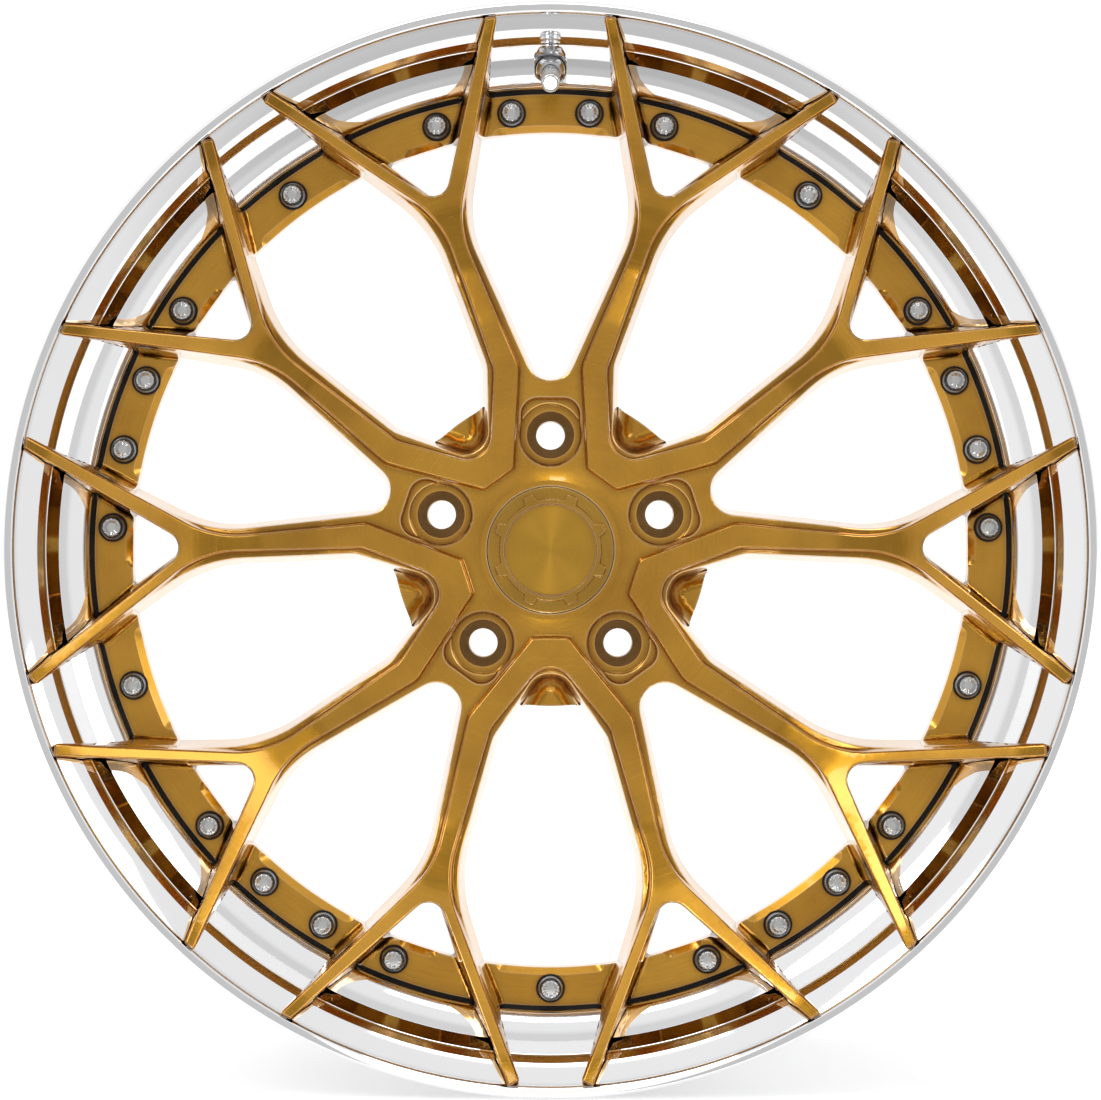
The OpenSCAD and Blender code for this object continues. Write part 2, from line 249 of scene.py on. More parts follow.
rib_top = eased([
    (30, 82.1), (38, 82), (90, 80), (120, 76.8), (150, 69.5), (181, 56), (200, 44.5),
    (214, 35), (230, 24), (246, 13), (256, 6.5), (268, 0.8),
])
shoulder_drop = eased([(30, 4), (95, 5), (120, 6.2), (181, 6.5), (200, 6.6), (214, 7.5), (240, 8), (268, 3)])
back = eased([(78, 119), (86, 118), (120, 111), (150, 103), (181, 91), (215, 75.5)])
platform = eased([(29, 88.3), (35, 88.2), (40, 86.9), (46, 86.1), (60, 85.6), (90, 85)], width=5)
PLATFORM_R = 88
RECESS_DEPTH = 92
POCKET_DEPTH = 96
LEG_UNDER = [
    (234.3, 40.8), (235.6, 39.2), (242, 32.8), (246.2, 29), (247.2, 27.6), (252.4, 18.6),
    (253.8, 13.2), (267.6, 3.2),
]
LEG_FLANK = [(200, 3.3), (232, 3.1), (240, 1.9), (247, 0.9), (267, 0.4)]
FLANK = 3.1
FILLET = 2.8
FILLET_SHARES = (0.25, 0.55, 1)

# How the face falls across an edge, as (distance, share of the drop). Distances are in mm, from the edge or
# from the lug hole's centre, and in LEG_WALL they are shares of the flank. LUG_SEAT and RIB_CREST give mm.
WINDOW_WALL = [(0, 0), (0.35, 0.08), (2.6, 0.93), (FLANK, 0.99), (3.6, 1)]
LEG_WALL = [(0, 0), (0.42, 0.06), (0.5, 0.13), (1, 1)]
RECESS_WALL = [(0, 0), (0.5, 0.92), (1, 1)]
POCKET_WALL = [(15.4, 1), (15.9, 0.93), (16.4, 0.08), (16.9, 0)]
LUG_SEAT = [(LUG_HOLE_R, 8.2), (LUG_SEAT_R, 0.6), (12.3, 0)]
RIB_CREST = [(-1.1, 0), (-0.7, 0.08), (-0.3, 0.4), (0, 0.9)]
RIB_FOOT = [(0, 0), (0.7, 0.86), (1.1, 0.97), (1.7, 1)]


def stops(value, table):
    """Straight-line reading of a table of (place, value)."""
    at, values = zip(*table)
    return np.interp(value, at, values)


def places(table):
    """The places of a table of (place, value)."""
    return [place for place, _ in table]


def polar(points):
    """Radius, and clockwise angle from the lug axis."""
    return np.hypot(points[:, 0], points[:, 1]), np.arctan2(points[:, 0], points[:, 1])


def bevel_loop(half_length):
    """A bevel's outline in (distance along the flange's edge, radius)."""
    low = FLANGE_IN - 15
    return outline([
        (-half_length, low, 0), (-half_length, BEVEL_TOP, 4.5),
        (half_length, BEVEL_TOP, 4.5), (half_length, low, 0),
    ])


def window_distance(points):
    """Distance to the nearest window, negative inside one."""
    return np.min([distance(points, loop) for loop, _ in WINDOWS], axis=0)


def along_wide(points):
    """Distance from the axle measured along the axis between two lugs."""
    return points @ WIDE_AXIS


def flange_depth(points):
    """Face of the bolted flange, with its bevels and eased outer edge."""
    r, angle = polar(points)
    depth = FLANGE + stops(r, [(FLANGE_OUT - 0.5, 0), (FLANGE_OUT, 0.5)])
    for middle, half_length in BEVELS:
        across = (angle - math.radians(middle)) * FLANGE_IN
        cut = distance(np.column_stack([across, r]), bevel_loop(half_length)[0])
        depth = depth + BEVEL_SLOPE * np.maximum(-cut, 0)
    return depth


def leg_depth(points, to_rib):
    """Flank of a fork leg: a narrow ledge, a drafted wall, and a fillet where it stands on the flange."""
    r, _ = polar(points)
    on_flange = r <= FLANGE_OUT + STEP / 2
    bottom = np.where(on_flange, flange_depth(points), stops(r, LEG_UNDER) - 0.5)
    top = rib_top(r)
    ledge = np.minimum(top + shoulder_drop(r), 0.45 * top + 0.55 * bottom)
    flank = stops(r, LEG_FLANK)
    foot = np.where(on_flange, bottom - FILLET, bottom)
    share = stops(to_rib / flank, LEG_WALL)
    wall = ledge + (foot - ledge) * share
    sweep = np.clip((to_rib - flank) / FILLET, 0, 1)
    fillet = bottom - FILLET * (1 - np.sqrt(np.maximum(1 - (1 - sweep) ** 2, 0)))
    return np.where(to_rib <= flank, wall, fillet)


def body_depth(points):
    """Face of the disc inside its flange: platform, shoulders, drafted window walls and pad scoop."""
    r, _ = polar(points)
    to_window = window_distance(points)
    top = np.where(r < PLATFORM_R, platform(r), rib_top(r) + shoulder_drop(r))
    bottom = stops(r, [(76, 0), (84, 1)]) * (back(r) - 1.2 - SCOOP_RIM) + SCOOP_RIM
    depth = bottom + (top - bottom) * stops(to_window, WINDOW_WALL)
    inward = np.clip(-to_window / SCOOP_REACH, 0, 1)
    scoop = SCOOP_RIM + SCOOP_DROP * np.sqrt(np.maximum(1 - (1 - inward) ** 2, 0))
    return np.where((to_window < -0.01) & (r < SCOOP_R), scoop, depth)


def front_depth(points):
    """Front surface of the centre disc."""
    r, _ = polar(points)
    to_rib = distance(points, RIB[0])
    depth = np.where(r < FLANGE_IN + STEP / 2, body_depth(points), leg_depth(points, to_rib))

    into_recess = -distance(points, RECESS_EDGE[0])
    depth = depth + (RECESS_DEPTH - depth) * stops(into_recess, RECESS_WALL)
    from_lug = np.hypot(points[:, 0], points[:, 1] - LUG_CIRCLE_R)
    depth = depth + (POCKET_DEPTH - depth) * stops(from_lug, POCKET_WALL)
    depth = depth + stops(from_lug, LUG_SEAT)

    crest = rib_top(r) + stops(to_rib, RIB_CREST)
    depth = crest + (depth - crest) * stops(to_rib, RIB_FOOT)
    return np.where(r < CAP_R + STEP / 2, CAP_LEDGE, depth)


def back_depth(points):
    """Back surface of the centre disc."""
    r, _ = polar(points)
    spokes = back(r) - stops(window_distance(points), [(0, 0.7), (0.8, 0)])
    depth = np.where(r < FLANGE_IN - 0.9, spokes, FLANGE_BACK)
    depth = np.where(r > FLANGE_OUT + STEP / 2, stops(r, LEG_UNDER), depth)
    depth = np.where(r < PAD_R + PAD_EDGE / 2, PAD, depth)
    return np.where(r < BORE_R - BORE_STEP / 3, PAD - BORE_DEPTH, depth)


def in_disc(points, bolt_spots):
    """True for plan points that lie on the centre disc."""
    r, _ = polar(points)
    on_pad = (r < SCOOP_R) & (along_wide(points) < SCOOP_END)
    step_end = FLANGE_IN + 0.85 * STEP
    body = (r < step_end) & ((window_distance(points) > 0) | on_pad)
    flange = (r > step_end) & (r < FLANGE_OUT + 0.01)
    legs = (r > FLANGE_OUT) & (distance(points, RIB[0]) < stops(r, LEG_FLANK))
    keep = (body | flange | legs) & (r > THROUGH_R)
    keep &= np.hypot(points[:, 0], points[:, 1] - LUG_CIRCLE_R) > LUG_HOLE_R
    for spot in bolt_spots:
        keep &= np.hypot(*(points - spot).T) > BOLT_HOLE_R
    return keep


class Plan:
    """Lines, in plan, that a surface's triangles have to follow within one half sector."""

    PAST_BORDER = 0.05
    MARGIN = 0.06

    def __init__(self, span):
        self.span = span
        self.points = []
        self.edges = []

    def near(self, points):
        """True for points in the sector or within a small angle of it."""
        _, angle = polar(points)
        return (angle > -self.MARGIN) & (angle < self.span + self.MARGIN)

    def add(self, points, closed=True):
        """Adds a polyline; stretches far from the sector are left out."""
        points = np.asarray(points, float)
        kept = self.near(points)
        index = {}
        for i in np.flatnonzero(kept):
            index[i] = len(self.points)
            self.points.append(points[i])
        count = len(points)
        for i in range(count if closed else count - 1):
            j = (i + 1) % count
            if i in index and j in index:
                self.edges.append((index[i], index[j]))

    def rings(self, pair, offsets, low=0.0, high=1e9, closed=True):
        """Adds copies of an outline, moved outwards by each offset (a number or a function of radius)."""
        points, normals = pair
        for offset in offsets:
            r, _ = polar(points)
            shift = offset(r) if callable(offset) else offset
            moved = points + normals * np.broadcast_to(shift, len(points))[:, None]
            r, _ = polar(moved)
            run = (r >= low) & (r <= high)
            if run.all():
                self.add(moved, closed)
                continue
            start = int(np.flatnonzero(~run)[0])
            gaps = np.flatnonzero(~np.roll(run, -start))
            for stretch in np.split(np.roll(moved, -start, axis=0), gaps):
                if len(stretch) > 2:
                    self.add(stretch[1:], closed=False)

    def arc(self, radius, step=3.0):
        """Adds an arc about the axle that reaches past both borders."""
        count = max(8, math.ceil(radius * (self.span + 2 * self.PAST_BORDER) / step))
        angles = np.linspace(-self.PAST_BORDER, self.span + self.PAST_BORDER, count + 1)
        self.add(np.column_stack([np.sin(angles), np.cos(angles)]) * radius, closed=False)

    def fill(self, spacing, inner, outer):
        """Adds loose points on arcs, so that broad areas follow their curves."""
        for radius in np.arange(inner, outer, spacing):
            count = max(2, int(radius * self.span / spacing))
            angles = (np.arange(count) + 0.5) * self.span / count
            self.points.extend(np.column_stack([np.sin(angles), np.cos(angles)]) * radius)

    def border(self, inner, outer):
        """Adds the two straight borders of the half sector."""
        for angle in (0.0, self.span):
            ray = np.array([math.sin(angle), math.cos(angle)])
            self.add([ray * inner, ray * outer], closed=False)

    def triangles(self, keep):
        """Triangles inside the sector whose middles satisfy keep, as (points, faces)."""
        spots = [Vector(p) for p in self.points]
        found = delaunay_2d_cdt(spots, self.edges, [], 0, 1e-5)
        points = np.array([tuple(p) for p in found[0]])
        faces = np.array([face for face in found[2] if len(face) == 3])
        middles = points[faces].mean(axis=1)
        _, angle = polar(middles)
        inside = (angle > 0) & (angle < self.span)
        inside[inside] = keep(middles[inside])
        return points, faces[inside]


def stand(points, depth):
    """Plan points at a depth, as frame coordinates in metres."""
    return np.column_stack([points[:, 0] * MM, FACE + np.asarray(depth) * MM, points[:, 1] * MM])


def shell(points, faces, front, rear, span):
    """A closed half sector between two depth functions, open only along its two borders."""
    used, local = np.unique(faces, return_inverse=True)
    faces = local.reshape(-1, 3)
    points = points[used]
    corners = points[faces]
    area = cross((corners[:, 1] - corners[:, 0]).T, (corners[:, 2] - corners[:, 0]).T)
    faces[area < 0] = faces[area < 0][:, ::-1]
    coords = np.vstack([stand(points, front(points)), stand(points, rear(points))])
    count = len(points)
    edges = np.vstack([faces[:, [0, 1]], faces[:, [1, 2]], faces[:, [2, 0]]])
    known = set(map(tuple, edges))
    far = np.array([math.cos(span), -math.sin(span)])
    on_near = np.abs(points[:, 0]) < 1e-3
    on_far = np.abs(points @ far) < 1e-3
    walls = [
        (b, a, a + count, b + count) for a, b in known
        if (b, a) not in known and not (on_near[a] and on_near[b]) and not (on_far[a] and on_far[b])
    ]
    return coords, [tuple(f) for f in faces] + [tuple(f[::-1] + count) for f in faces] + walls


def repeated(parts):
    """Joins mirrored and turned copies of half sectors into one vertex and face list."""
    coords, faces, base = [], [], 0
    for (points, polygons), turn, flip in parts:
        across = turned(points[:, [0, 2]] * [-1 if flip else 1, 1], turn)
        coords.append(np.column_stack([across[:, 0], points[:, 1], across[:, 1]]))
        faces += [tuple(i + base for i in (reversed(f) if flip else f)) for f in polygons]
        base += len(points)
    return np.vstack(coords), faces


def solid(name, coords, faces, sharp=32, weld=2e-6, weighted=True):
    """A welded object with smooth faces and edges that stay sharp above an angle."""
    mesh = bpy.data.meshes.new(name)
    mesh.from_pydata([tuple(p) for p in coords], [], faces)
    bm = bmesh.new()
    bm.from_mesh(mesh)
    bmesh.ops.remove_doubles(bm, verts=bm.verts, dist=weld)
    bmesh.ops.dissolve_degenerate(bm, dist=weld / 2, edges=bm.edges)
    bmesh.ops.recalc_face_normals(bm, faces=bm.faces)
    bm.to_mesh(mesh)
    bm.free()
    mesh.shade_smooth()
    mesh.set_sharp_from_angle(angle=math.radians(sharp))
    piece = bpy.data.objects.new(name, mesh)
    bpy.context.scene.collection.objects.link(piece)
    if weighted:
        weigh = piece.modifiers.new("weighted", "WEIGHTED_NORMAL")
        weigh.keep_sharp = True
    return piece


def disc_half(bolt_near):
    """One half sector of the centre disc."""
    plan = Plan(HALF_SECTOR)
    plan.border(20, 285)
    hub_radii = (
        THROUGH_R, CAP_R, CAP_R + STEP, BORE_R - BORE_STEP, BORE_R,
        40, 46, PAD_R, PAD_R + PAD_EDGE, PLATFORM_R,
    )
    flange_radii = (
        FLANGE_IN - 1, FLANGE_IN, FLANGE_IN + STEP, FLANGE_OUT - 0.5, FLANGE_OUT, FLANGE_OUT + STEP,
    )
    for radius in (*hub_radii, *flange_radii, *places(LEG_UNDER[1:-1])):
        plan.arc(radius)
    plan.rings(RIB, places(RIB_CREST + RIB_FOOT[1:]))
    for share in places(LEG_WALL[1:]):
        plan.rings(RIB, [lambda r, share=share: stops(r, LEG_FLANK) * share], low=FLANGE_IN)
    for reach in FILLET_SHARES:
        plan.rings(
            RIB, [lambda r, reach=reach: stops(r, LEG_FLANK) + FILLET * reach],
            low=FLANGE_IN, high=FLANGE_OUT + 1,
        )
    for pair in WINDOWS:
        plan.rings(pair, places(WINDOW_WALL), high=FLANGE_IN + 2)
    plan.rings(WIDE_WINDOW, SCOOP_RINGS, high=PLATFORM_R)
    plan.rings(RECESS_EDGE, [-place for place in places(RECESS_WALL)])
    for radius in (LUG_HOLE_R, 7.9, *places(LUG_SEAT[1:]), *places(POCKET_WALL)):
        plan.add(circle(radius, (0, LUG_CIRCLE_R), 1.5)[0])
    bolt_spots = [
        BOLT_CIRCLE_R * np.array([math.sin(math.radians(a)), math.cos(math.radians(a))])
        for a in (bolt_near, BOLT_FORK, HALF_SECTOR_DEGREES)
    ]
    for spot in bolt_spots:
        plan.add(circle(BOLT_HOLE_R, spot, 1.5)[0])
    for middle, half_length in BEVELS:
        bent, _ = bevel_loop(half_length)
        bent = bent[bent[:, 1] > FLANGE_IN - 1]
        angles = math.radians(middle) + bent[:, 0] / FLANGE_IN
        plan.add(np.column_stack([np.sin(angles), np.cos(angles)]) * bent[:, 1:], closed=False)
    aside = np.array([-WIDE_AXIS[1], WIDE_AXIS[0]])
    plan.add([WIDE_AXIS * SCOOP_END + aside * 20, WIDE_AXIS * SCOOP_END - aside * 20], closed=False)
    plan.fill(4, 44, 266)
    points, faces = plan.triangles(lambda middles: in_disc(middles, bolt_spots))
    return shell(points, faces, front_depth, back_depth, HALF_SECTOR)


def centre_disc():
    """Ten mirrored half sectors; the two beside the valve have their bolts a little wider apart."""
    plain = disc_half(BOLT_NEAR)
    at_valve = disc_half(BOLT_NEAR_VALVE)
    parts = []
    for sector in range(SECTORS):
        for flip in (False, True):
            parts.append((at_valve if sector == 0 else plain, 2 * HALF_SECTOR * sector, flip))
    return solid("centre_disc_surface", *repeated(parts))


disc = centre_disc()


# ---------------------------------------------------------------- turned pieces


def round_turning(loop, count):
    """Vertices (x, y, height) and faces of a closed (radius, height) loop turned about its axis."""
    angles = np.arange(count) * 2 * math.pi / count
    rays = np.column_stack([np.cos(angles), np.sin(angles)])
    coords, faces, rows = [], [], []
    for radius, height in loop:
        if radius < 1e-6:
            rows.append([len(coords)] * count)
            coords.append((0, 0, height))
            continue
        rows.append(list(range(len(coords), len(coords) + count)))
        coords += [(radius * x, radius * y, height) for x, y in rays]
    for row, after in zip(rows, rows[1:] + rows[:1]):
        for i in range(count):
            j = (i + 1) % count
            face = list(dict.fromkeys((row[i], row[j], after[j], after[i])))
            if len(face) > 2:
                faces.append(tuple(face))
    return np.array(coords, float), faces


def eased_loop(corners, step=1.0):
    """Points of a closed (radius, height) outline whose corners (radius, height, easing) are rounded."""
    return outline(corners, step)[0]


def lobed(coords, lobes, swing, low):
    """Swells and shrinks the radius in lobes, above a height."""
    angle = np.arctan2(coords[:, 1], coords[:, 0])
    factor = np.where(coords[:, 2] > low, 1 + swing * np.cos(lobes * angle), 1)
    return coords * np.column_stack([factor, factor, np.ones(len(coords))])


def faceted(coords, sides, above, bore=4):
    """Pulls what is round outside the bore and above a height in to the flats of a regular polygon."""
    slot = 2 * math.pi / sides
    angle = np.arctan2(coords[:, 1], coords[:, 0]) % slot - slot / 2
    flat = math.cos(slot / 2) / np.cos(angle)
    outside = np.hypot(coords[:, 0], coords[:, 1]) > bore
    factor = np.where((coords[:, 2] > above) & outside, flat, 1)
    return coords * np.column_stack([factor, factor, np.ones(len(coords))])


def axle_place(depth, facing=1):
    """Matrix that puts a turned piece on the axle, with its heights towards the face (1) or the back (-1)."""
    return Matrix((
        (MM, 0, 0, 0),
        (0, 0, -facing * MM, FACE + depth * MM),
        (0, facing * MM, 0, 0),
        (0, 0, 0, 1),
    ))


def placed(coords, matrix):
    """Coordinates moved by a matrix."""
    turn = np.array(matrix)
    return coords @ turn[:3, :3].T + turn[:3, 3]


def gathered(name, members, sharp=32, weighted=True):
    """One object from several (coords, faces, matrix) members."""
    coords, faces, base = [], [], 0
    for points, polygons, matrix in members:
        coords.append(placed(points, matrix))
        faces += [tuple(i + base for i in polygon) for polygon in polygons]
        base += len(points)
    return solid(name, np.vstack(coords), faces, sharp, 1e-7, weighted)


def turned_piece(name, corners, matrix, count=96, step=1.0, sharp=32):
    """One object from a closed outline of (radius, height, easing) corners, turned about its axis."""
    coords, faces = round_turning(eased_loop(corners, step), count)
    return gathered(name, [(coords, faces, matrix)], sharp)


def show(piece, body, slot, *nodes):
    """Rides a piece on a body, in place of CAD nodes."""
    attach(piece, body)
    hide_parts(*nodes)


# Barrel section: (radius, depth, easing), from the front flange over the tyre side and back
BEAD_R = RIM_R - 17.3
WELL_R = BEAD_R - 12.9
DEEP = (barrel_high.y - FACE) / MM
TUNNEL_R = 236.6
REGISTER_R = 236.3
LIP_BORE_R = 235.2
BARREL = [
    (RIM_R - 5.3, 0, 0.4), (RIM_R - 1.4, 0.2, 0.8), (RIM_R, 2.5, 1.5), (RIM_R, 9, 2.5),
    (RIM_R - 2.2, 12, 2.5), (RIM_R - 6, 13, 3), (BEAD_R + 3, 14, 2.5), (BEAD_R, 17, 2.5),
    (BEAD_R - 2.2, 38, 3), (BEAD_R - 0.8, 40.5, 2),
    (BEAD_R - 3, 43.5, 3), (WELL_R, 51, 6), (WELL_R, 108, 12), (WELL_R + 6.5, 132, 12),
    (BEAD_R - 5.6, DEEP - 50, 10), (BEAD_R - 0.8, DEEP - 40.5, 2), (BEAD_R - 2.2, DEEP - 38, 2),
    (BEAD_R, DEEP - 17, 2.5), (BEAD_R + 3, DEEP - 14, 2.5), (RIM_R - 6, DEEP - 13, 3),
    (RIM_R - 2.2, DEEP - 12, 2.5), (RIM_R, DEEP - 9, 2.5), (RIM_R, DEEP - 2.5, 1.5), (RIM_R - 1.8, DEEP, 1.2),
    (RIM_R - 7, DEEP, 2.5), (BEAD_R + 2, DEEP - 9, 6), (BEAD_R - 5.5, DEEP - 14, 5),
    (BEAD_R - 6.5, DEEP - 32, 8),
    (BEAD_R - 11, DEEP - 50, 12), (WELL_R + 1, 132, 12), (TUNNEL_R, 108, 8), (TUNNEL_R, RING_BACK, 0.5),
    (FLANGE_IN + 1.7, RING_BACK, 0.8), (FLANGE_IN + 1.7, FLANGE_BACK + 0.02, 0.5),
    (REGISTER_R, FLANGE_BACK + 0.02, 0.3), (REGISTER_R, 61.6, 0.4), (235.3, 60.6, 0.5),
    (LIP_BORE_R, 41.3, 1.5), (239.6, 36.2, 25), (248, 30.9, 0.4),
    (248.5, 30.6, 0.3), (253.4, 19.6, 0.4), (254, 19, 0.3), (254.4, 17.2, 0.8), (258.6, 11, 40),
    (267.6, 5.5, 0.5), (268.2, 4.6, 0.3),
]


def cutter(radius, low, high, matrix, count=64):
    """A plain round tool for cutting holes; it is removed after use."""
    coords, faces = round_turning([(0, low), (radius, low), (radius, high), (0, high)], count)
    return gathered("cutter", [(coords, faces, matrix)], weighted=False)


def bored(piece, tools, sharp=32):
    """Cuts tools out of a piece for good."""
    for tool in tools:
        cut = piece.modifiers.new("cut", "BOOLEAN")
        cut.operation = "DIFFERENCE"
        cut.solver = "MANIFOLD"
        cut.object = tool
    graph = bpy.context.evaluated_depsgraph_get()
    mesh = bpy.data.meshes.new_from_object(piece.evaluated_get(graph))
    piece.modifiers.clear()
    piece.data = mesh
    for tool in tools:
        bpy.data.objects.remove(tool)
    mesh.shade_smooth()
    mesh.set_sharp_from_angle(angle=math.radians(sharp))


def bolt_angles():
    """Clockwise angles of the 25 assembly bolts."""
    for sector in range(SECTORS):
        near = BOLT_NEAR_VALVE if sector == 0 else BOLT_NEAR
        for angle in (-BOLT_FORK, -near, near, BOLT_FORK, HALF_SECTOR_DEGREES):
            yield 2 * HALF_SECTOR * sector + math.radians(angle)


def on_bolt_circle(angle, depth, facing=1, spin=0.0):
    """Matrix of a fastener on the bolt circle."""
    radius = BOLT_CIRCLE_R * MM
    away = Matrix.Translation((radius * math.sin(angle), 0, radius * math.cos(angle)))
    return away @ axle_place(depth, facing) @ Matrix.Rotation(spin, 4, "Z")


VALVE_LEAN = math.radians(20)
VALVE_DEPTH = 36.9
VALVE_R = 244.2
VALVE_SEAT_R = 8
VALVE_HOLE_R = 4.15
VALVE_HEAD_R = 6.2


def valve_place():
    """Matrix that puts a turned piece on the valve's seat, with its heights along the leaning stem."""
    outwards = Vector((0, -math.cos(VALVE_LEAN), -math.sin(VALVE_LEAN)))
    sideways = Vector((1, 0, 0))
    axes = Matrix((sideways, outwards.cross(sideways), outwards)).transposed().to_4x4()
    seat = Vector((0, FACE + VALVE_DEPTH * MM, VALVE_R * MM))
    return Matrix.Translation(seat) @ axes @ Matrix.Scale(MM, 4)


AT_VALVE = valve_place()

coords, faces = round_turning(eased_loop(BARREL, 6.0), 360)
barrel = gathered("barrel_surface", [(coords, faces, axle_place(0, -1))], sharp=28)
tools = [
    cutter(BOLT_HOLE_R, -1, RING_THICKNESS + 1, on_bolt_circle(angle, RING_BACK)) for angle in bolt_angles()
]
tools.append(cutter(VALVE_SEAT_R, 0, 12, AT_VALVE))
tools.append(cutter(VALVE_HOLE_R, -30, 5, AT_VALVE))
tools.append(cutter(VALVE_HEAD_R, -30, -10, AT_VALVE))
bored(barrel, tools, sharp=28)
show(barrel, "wheel", "polished_barrel", "barrel")

# Washer, head and nut sections: (radius, height, easing), heights from the face that they stand on
WASHER = [(3.7, 0.01, 0.1), (7.35, 0.01, 0.1), (7.35, 1.2, 0.25), (3.7, 1.2, 0.1)]
HEAD = [
    (0, -37, 0), (3.1, -37, 0.4), (3.5, -36.4, 0.2), (3.5, 1.22, 0), (6.4, 1.22, 0.15), (6.4, 2.7, 0.6),
    (5.1, 3.3, 0.3), (0, 3.3, 0),
]
STAR = [
    (0, 3, 0), (4.95, 3, 0), (4.95, 7.1, 0.5), (4.45, 7.6, 0.3), (4.2, 7.1, 0.3), (3.9, 7.05, 0.3),
    (2.2, 7.55, 2), (0, 7.7, 0),
]
NUT = [
    (3.52, 0.02, 0), (6.3, 0.02, 0.15), (6.3, 1.4, 0.4), (5.95, 1.9, 0.3), (5.9, 2.0, 0.05), (5.9, 6.4, 0.2),
    (5.3, 7.0, 0.2), (3.9, 7.0, 0.2), (3.52, 6.6, 0.1),
]
STAR_POINTS = 12
NUT_SIDES = 6


def fasteners(name, corners, depth, facing=1, shape=None, count=72):
    """One object of 25 equal pieces on the bolt circle, each turned a little differently."""
    coords, faces = round_turning(eased_loop(corners, 0.8), count)
    if shape:
        coords = shape(coords)
    members = []
    for number, angle in enumerate(bolt_angles()):
        members.append((coords, faces, on_bolt_circle(angle, depth, facing, spin=2.4 * number)))
    return gathered(name, members, sharp=35)


washers = fasteners("washer_set", WASHER, FLANGE)
show(washers, "wheel", "washer_black", "assembly_washers")
heads = fasteners("bolt_set", HEAD, FLANGE, count=48)
show(heads, "wheel", "bolt_steel", "assembly_bolts")
stars = fasteners("bolt_star_set", STAR, FLANGE, shape=lambda c: lobed(c, STAR_POINTS, 0.045, 2), count=120)
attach(stars, "wheel")
nuts = fasteners("nut_set", NUT, RING_BACK, facing=-1, shape=lambda c: faceted(c, NUT_SIDES, 1.95))
show(nuts, "wheel", "nut_steel", "assembly_nuts")


# ---------------------------------------------------------------- centre cap

CAP_EDGE_R = CAP_R - 0.05
BADGE_R = 23.7
GEAR_R = 26.4
TEETH = 8
TOOTH = [(-3.9, 25, 0), (-2.5, 30.2, 0.7), (2.5, 30.2, 0.7), (3.9, 25, 0)]
TOOTH_ANGLE = math.pi / TEETH
GEAR_RELIEF = 0.65
GEAR_WALL = [(-0.45, 1), (-0.1, 0.85), (0.3, 0.1), (0.5, 0)]
cap_tooth = axis_turned(outline(TOOTH, 1.0), TOOTH_ANGLE)


def gear_distance(points):
    """Distance outside the gear's ring and tooth."""
    r, _ = polar(points)
    return np.minimum(r - GEAR_R, distance(points, cap_tooth[0]))


def cap_front(points):
    """Face of the cap: eased edge, flat ring, raised gear and the wall of the badge's recess."""
    r, _ = polar(points)
    depth = CAP_FACE + 0.75 - GEAR_RELIEF * stops(gear_distance(points), GEAR_WALL)
    depth = depth + stops(r, [(BADGE_R, 3), (BADGE_R + 0.05, 0.5), (BADGE_R + 0.5, 0)])
    return depth + stops(r, [(CAP_EDGE_R - 0.9, 0), (CAP_EDGE_R - 0.3, 0.15), (CAP_EDGE_R, 0.7)])


def cap_back(points):
    """Back of the cap: a shallow cup with its rim down in the hub."""
    r, _ = polar(points)
    return CAP_FACE + stops(r, [(CAP_EDGE_R - 3.7, 6), (CAP_EDGE_R - 3.6, 18.3)])


def half_tooth():
    """Half of one tooth's sector of the cap."""
    plan = Plan(TOOTH_ANGLE)
    plan.border(0, 36)
    for radius in (BADGE_R, BADGE_R + 0.05, BADGE_R + 0.5, CAP_EDGE_R - 3.7, CAP_EDGE_R - 3.6):
        plan.arc(radius, 0.8)
    for radius in (CAP_EDGE_R - 0.9, CAP_EDGE_R - 0.3, CAP_EDGE_R, 26.9, 26.7, 26.3, 25.95):
        plan.arc(radius, 0.8)
    plan.rings(cap_tooth, places(GEAR_WALL))
    plan.fill(1.2, 3, 33)
    points, faces = plan.triangles(lambda middles: polar(middles)[0] < CAP_EDGE_R)
    return shell(points, faces, cap_front, cap_back, TOOTH_ANGLE)


def cap():
    """The cap's shell: mirrored and turned copies of half a tooth's sector."""
    part = half_tooth()
    turns = [(part, 2 * TOOTH_ANGLE * number, flip) for number in range(TEETH) for flip in (False, True)]
    return solid("cap_surface", *repeated(turns), weld=1e-6)


cap_piece = cap()
show(cap_piece, "centre_cap", "cap_bronze", "cap_shell")
badge_front = CAP_FACE + 2.98
badge = turned_piece(
    "cap_badge_surface",
    [(0, -1.1, 0), (BADGE_R - 0.02, -1.1, 0.1), (BADGE_R - 0.02, 0, 0.3), (0, 0, 0)],
    axle_place(badge_front - 0.02), count=160,
)
show(badge, "centre_cap", "cap_disc", "cap_badge")


# ---------------------------------------------------------------- valve

STEM = [(1.55, -17, 0.2), (5.9, -17, 0.5), (5.9, -13.1, 0.5), (3.95, -13.1, 0.1), (3.95, 15, 0.2)]
STEM += [(3.85 - 0.32 * (k % 2), 15.4 + 0.42 * k, 0.08) for k in range(21)]
STEM += [(3.5, 24.5, 0.2), (2.32, 24.5, 0.1), (2.32, 6, 0.1), (1.55, 5.4, 0.1)]
VALVE_NUT = [
    (4.0, 1.22, 0.1), (7.0, 1.22, 0.2), (7.4, 1.6, 0.2), (7.4, 5.0, 0.5), (5.5, 8.4, 0.5), (4.0, 8.6, 0.2),
]
VALVE_WASHER = [(4.12, 0.02, 0.1), (7.3, 0.02, 0.2), (7.3, 1.2, 0.3), (4.12, 1.2, 0.1)]
VALVE_CAP = [(0, 26.5, 0), (3.95, 26.5, 0.1), (3.95, 16.5, 0.15), (4.5, 16.5, 0.3), (4.75, 17.2, 0.3)]
